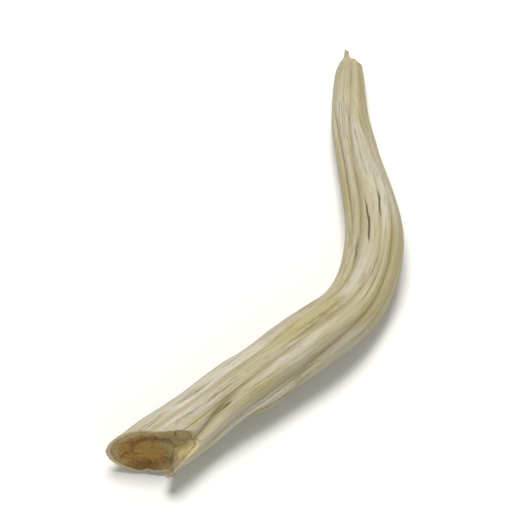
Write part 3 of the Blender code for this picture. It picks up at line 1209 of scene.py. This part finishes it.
def oval(place, centre, size):
    """0 at an oval's centre and 1 at its edge, on the cut face, in millimetres."""
    away = vectors("SUBTRACT", place, (*centre, 0.0))
    share = vectors("MULTIPLY", away, (1.0 / size[0], 1.0 / size[1], 0.0))
    settings = [("operation", "LENGTH")]
    return add(place.id_data, "ShaderNodeVectorMath", settings, Vector=share).outputs["Value"]


def fibre_ends_of(place):
    """Fibres cut across: small pale dots, close together, as long cells seen end on."""
    drawn = vectors("MULTIPLY", place, DOTS_SQUEEZE)
    cells = add(place.id_data, "ShaderNodeTexVoronoi", Vector=drawn, Scale=DOTS_PER_MM)
    return ramp(cells.outputs["Distance"], 0.42, 0.12)


def ring_line(ring, waver, middle, half_width):
    """A thin line round the face at this share of the way out, pushed about by the waver."""
    moved = weighted((ring, 1.0), (waver, LINE_WAVER))
    away = sums("ABSOLUTE", sums("SUBTRACT", moved, middle + LINE_WAVER / 2), 0.0)
    return ramp(away, half_width, LINE_CORE_SHARE * half_width)


print("the core's line lies", CORE_SHARE, "of the way out")

# %% The cut flesh material
FLESH_BUMP = (0.8, 0.00008)
FLESH_GLOW = (0.08, (1.0, 0.55, 0.2), 0.0005)
# Pairs of colours that the streaks blend, dark and light
AMBER = ((142, 104, 36), (182, 144, 66))
OLIVE = ((158, 138, 86), (196, 178, 126))
# The slope behind the lip: pale flesh, painted darker as shade
SHADED_LIP_SLOPE = ((130, 110, 82), (164, 145, 114))
# Marks: the most that each may hide, and its colour
AMBER_MARKS = {"fibre ends": (0.45, (208, 176, 100))}
OLIVE_MARKS = {"fibre ends": (0.35, (204, 190, 142))}
FACE_MARKS = {
    "rosy": (0.5, (178, 144, 100)),
    # Painted shadow along the lower edge of the face
    "painted shadow low on the face": (0.6, (100, 66, 28)),
    "line round the core": (0.5, (94, 62, 26)),
    "line under the skin": (0.6, (104, 78, 40)),
}
EDGE_MARKS = {
    "cream rim": (1.0, (200, 184, 142)),
    # The cracks of the face are painted dark as shade
    "cracks": (0.7, (78, 52, 24)),
    "soil": (1.0, (90, 62, 30)),
}
# Ovals on the face: middle across and up from the face's own, and half sizes, in mm
AMBER_OVAL = ((-0.75, -0.4), (2.1, 1.8))
ROSY_OVAL = ((0.3, 1.5), (1.6, 0.8))
# This oval places the painted shadow along the lower edge of the face
SHADOW_OVAL = ((-0.7, -1.95), (1.8, 0.6))
SKIN_SHARE = 0.88


def flesh_colour(face, streaks, ends):
    """Amber inside its oval and olive outside it, each streaked and dotted with fibre ends."""
    amber = lay_over(blend(streaks, *AMBER), [ends], AMBER_MARKS)
    olive = lay_over(blend(streaks, *OLIVE), [ends], OLIVE_MARKS)
    return blend(ramp(oval(face, *AMBER_OVAL), 0.75, 1.2), amber, olive)


def make_cut_flesh():
    """Amber and olive flesh, with tints, a painted shadow low on the face, ring lines, the lip's
    slope painted darker as shade, a rim, cracks painted dark as shade, and soil laid over it.
    """
    material, tree, shader = new_material("cut_flesh")
    face = note_of(tree, "on_cut", "Vector")
    place = note_of(tree, "along_root", "Vector")
    streaks = place_group(fibre_grain, place, Fibres_per_mm=5.5, Squeeze=0.25)["Streaks"]
    soil = place_group(specks, place, Specks_per_mm=3.0, Amount=0.6)["Mask"]
    ends = fibre_ends_of(place)
    ring = parts_of(face)["Z"]
    rosy = ramp(oval(face, *ROSY_OVAL), 1.2, 0.3)
    # Painted shadow low on the face
    dark = ramp(oval(face, *SHADOW_OVAL), 1.2, 0.3)
    core = ring_line(ring, streaks, CORE_SHARE, 0.035)
    skin = ring_line(ring, streaks, SKIN_SHARE, 0.03)
    colour = lay_over(flesh_colour(face, streaks, ends), (rosy, dark, core, skin), FACE_MARKS)
    # The slope behind the lip, painted darker as shade
    slope = ramp(note_of(tree, "lip_slope"), 0.12, 0.6)
    colour = blend(slope, colour, blend(streaks, *SHADED_LIP_SLOPE))
    # Where the face sinks below its neighbours, at its cracks, it is painted dark as shade
    rim, cracks = ramp(ring, SKIN_SHARE, 0.95), ramp(note_of(tree, "furrow"), 0.4, 1.6)
    colour = lay_over(colour, (rim, cracks, soil), EDGE_MARKS)
    height = weighted((ends, 0.6), (streaks, 0.5))
    surface(shader, colour, streaks, height, FLESH_BUMP, FLESH_GLOW)
    return material


cut_flesh = make_cut_flesh()
print("material:", cut_flesh.name)


# %% Put the materials on the root
def faces_per_zone():
    """Faces of the cut face, the flank and the tip, in the order that closed_faces makes them."""
    quad_rows = len(rows) - 3
    zone = np.zeros((quad_rows, COLUMNS), int)
    zone[:CUT_RINGS - 2] = 1
    zone[quad_rows - TIP_RINGS + 2:] = 1
    fans = np.ones(2 * COLUMNS, int)
    return np.concatenate((zone.ravel(), fans))


root_mesh.materials.append(peeled_skin)
root_mesh.materials.append(cut_flesh)
root_mesh.polygons.foreach_set("material_index", faces_per_zone())
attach(peeled_root, "root")
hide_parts("root")
print("zones:", np.bincount(faces_per_zone()))

# %% [markdown]
# ## Floor, light and camera
#
# The root lies on plain white. The light is soft and comes from above and a little behind, so
# the tops of both limbs are bright and the near flanks fall into gentle shade. From here on
# places are in metres, as Blender's own lights and cameras are.

# %% The floor
FLOOR_HALF = 0.6
FLOOR_WHITE = (238, 237, 234)
FLOOR_ROUGHNESS = 0.8


def make_floor():
    """A broad pale square at the height the root lies on."""
    sides = ((-1, -1), (1, -1), (1, 1), (-1, 1))
    corners = [(FLOOR_HALF * east, FLOOR_HALF * north, 0.0) for east, north in sides]
    mesh = bpy.data.meshes.new("floor")
    mesh.from_pydata(corners, [], [(0, 1, 2, 3)])
    material, _, shader = new_material("white_floor")
    shader.inputs["Base Color"].default_value = paint(*FLOOR_WHITE)
    shader.inputs["Roughness"].default_value = FLOOR_ROUGHNESS
    mesh.materials.append(material)
    return put("floor", mesh)


floor = make_floor()
print("floor made")


# %% The lights
WORLD_STRENGTH = 0.24
# Name, place, size, power in watts, and colour
LIGHTS = (
    ("key", (-0.01, 0.10, 0.35), 0.16, 1.33, (1.0, 0.99, 0.97)),
    ("fill", (0.06, -0.32, 0.24), 0.30, 0.38, (0.98, 0.99, 1.0)),
)


def aim(thing, place, target):
    """Put a lamp or a camera in its place, and turn it to face the target."""
    thing.location = place
    thing.rotation_euler = (target - place).to_track_quat("-Z", "Y").to_euler()


def soft_light(name, place, size, power, colour):
    """A square lamp of this size, turned to face the root."""
    lamp = bpy.data.lights.new(name, "AREA")
    lamp.size = size
    lamp.energy = power
    lamp.color = colour
    aim(put(name, lamp), Vector(place), Vector())


for light_values in LIGHTS:
    soft_light(*light_values)
world = bpy.data.worlds.new("soft_white")
world.use_nodes = True
background = world.node_tree.nodes["Background"]
background.inputs["Color"].default_value = (1.0, 1.0, 1.0, 1.0)
background.inputs["Strength"].default_value = WORLD_STRENGTH
bpy.context.scene.world = world
bpy.context.scene.view_settings.view_transform = "Standard"
print("lights:", [values[0] for values in LIGHTS])


# %% The camera
CAMERA_ELEVATION = 60.0
CAMERA_DISTANCE = 0.456
CAMERA_LENS = 400.0
CAMERA_NEAR = 0.01
CAMERA_TARGET = Vector((0.0, 0.0, 0.0022))


def make_camera():
    """A long lens, looking along the root's +Y and down by the camera's elevation."""
    lens = bpy.data.cameras.new("camera")
    lens.lens = CAMERA_LENS
    lens.clip_start = CAMERA_NEAR
    tilt = np.radians(CAMERA_ELEVATION)
    away = Vector((0.0, -np.cos(tilt), np.sin(tilt)))
    camera = put("camera", lens)
    aim(camera, CAMERA_TARGET + away * CAMERA_DISTANCE, CAMERA_TARGET)
    bpy.context.scene.camera = camera


make_camera()
print("camera", CAMERA_DISTANCE * 1000, "mm away")
